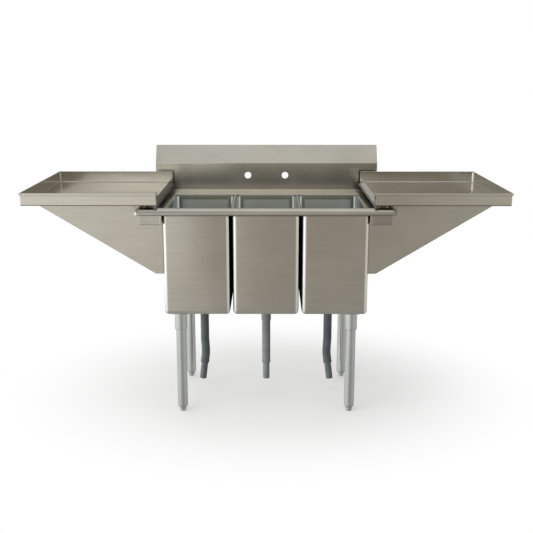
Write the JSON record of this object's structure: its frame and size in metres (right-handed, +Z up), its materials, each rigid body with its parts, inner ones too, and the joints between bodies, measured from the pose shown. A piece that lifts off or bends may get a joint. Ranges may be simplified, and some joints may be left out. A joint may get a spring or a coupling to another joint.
{
  "type": "three compartment sink",
  "caption": "Free-standing stainless steel sink with deep side-by-side bowls, rolled rim, backsplash with tap holes, lift-off drainboards on both sides, tube legs and drain hoses.",
  "frame": {"origin": "on the floor, under the middle of the overall box", "axes": "+X to the user's right along the row of bowls, +Y from the user towards the wall, +Z up"},
  "size_m": [1.8908, 0.736, 1.0388],
  "materials": {
    "stainless_satin": "satin brushed stainless steel sheet",
    "leg_steel": "satin tube",
    "foot_steel": "turned steel",
    "strainer_steel": "polished stamped steel",
    "lock_nut_zinc": "cast zinc",
    "gasket_rubber": "plain",
    "hose_grey": "smooth flexible hose",
    "hose_fitting_grey": "moulded hose end",
    "fastener_steel": "plated steel"
  },
  "bodies": {
    "sink": {"backsplash": "stainless_satin", "bowl_centre": "stainless_satin", "bowl_left": "stainless_satin", "bowl_right": "stainless_satin", "bracket_front_left": "stainless_satin", "bracket_front_right": "stainless_satin", "bracket_rear_left": "stainless_satin", "bracket_rear_right": "stainless_satin", "bracket_tie_left": "stainless_satin", "bracket_tie_right": "stainless_satin", "deck": "stainless_satin", "drain_hose_centre": "hose_grey", "drain_hose_left": "hose_grey", "drain_hose_right": "hose_grey", "foot_insert_front_left": "leg_steel", "foot_insert_front_right": "leg_steel", "foot_insert_rear_left": "leg_steel", "foot_insert_rear_right": "leg_steel", "hose_collar_centre": "hose_fitting_grey", "hose_collar_left": "hose_fitting_grey", "hose_collar_right": "hose_fitting_grey", "hose_cuff_centre": "hose_fitting_grey", "hose_cuff_left": "hose_fitting_grey", "hose_cuff_right": "hose_fitting_grey", "leg_set_screws": "fastener_steel", "leg_socket_front_left": "leg_steel", "leg_socket_front_right": "leg_steel", "leg_socket_rear_left": "leg_steel", "leg_socket_rear_right": "leg_steel", "leg_tube_front_left": "leg_steel", "leg_tube_front_right": "leg_steel", "leg_tube_rear_left": "leg_steel", "leg_tube_rear_right": "leg_steel", "lock_nut_centre": "lock_nut_zinc", "lock_nut_left": "lock_nut_zinc", "lock_nut_right": "lock_nut_zinc", "side_channel_left": "stainless_satin", "side_channel_right": "stainless_satin", "splash_end_left": "stainless_satin", "splash_end_right": "stainless_satin", "strainer_body_centre": "strainer_steel", "strainer_body_left": "strainer_steel", "strainer_body_right": "strainer_steel", "strainer_gasket_centre": "gasket_rubber", "strainer_gasket_left": "gasket_rubber", "strainer_gasket_right": "gasket_rubber"},
    "drainboard_left": {"drainboard_left": "stainless_satin"},
    "drainboard_right": {"drainboard_right": "stainless_satin"},
    "foot_front_left": {"bullet_foot_front_left": "foot_steel"},
    "foot_front_right": {"bullet_foot_front_right": "foot_steel"},
    "foot_rear_left": {"bullet_foot_rear_left": "foot_steel"},
    "foot_rear_right": {"bullet_foot_rear_right": "foot_steel"},
    "basket_left": {"strainer_basket_left": "strainer_steel"},
    "basket_centre": {"strainer_basket_centre": "strainer_steel"},
    "basket_right": {"strainer_basket_right": "strainer_steel"}
  },
  "joints": [
    {"name": "drainboard_left_lift", "type": "slide", "parent": "sink", "child": "drainboard_left", "axis": [0, 0, 1], "range_m": [0, 0.08]},
    {"name": "drainboard_right_lift", "type": "slide", "parent": "sink", "child": "drainboard_right", "axis": [0, 0, 1], "range_m": [0, 0.08]},
    {"name": "foot_front_left_level", "type": "slide", "parent": "sink", "child": "foot_front_left", "axis": [0, 0, -1], "range_m": [0, 0.025]},
    {"name": "foot_front_right_level", "type": "slide", "parent": "sink", "child": "foot_front_right", "axis": [0, 0, -1], "range_m": [0, 0.025]},
    {"name": "foot_rear_left_level", "type": "slide", "parent": "sink", "child": "foot_rear_left", "axis": [0, 0, -1], "range_m": [0, 0.025]},
    {"name": "foot_rear_right_level", "type": "slide", "parent": "sink", "child": "foot_rear_right", "axis": [0, 0, -1], "range_m": [0, 0.025]},
    {"name": "basket_left_lift", "type": "slide", "parent": "sink", "child": "basket_left", "axis": [0, 0, 1], "range_m": [0, 0.1]},
    {"name": "basket_centre_lift", "type": "slide", "parent": "sink", "child": "basket_centre", "axis": [0, 0, 1], "range_m": [0, 0.1]},
    {"name": "basket_right_lift", "type": "slide", "parent": "sink", "child": "basket_right", "axis": [0, 0, 1], "range_m": [0, 0.1]}
  ]
}
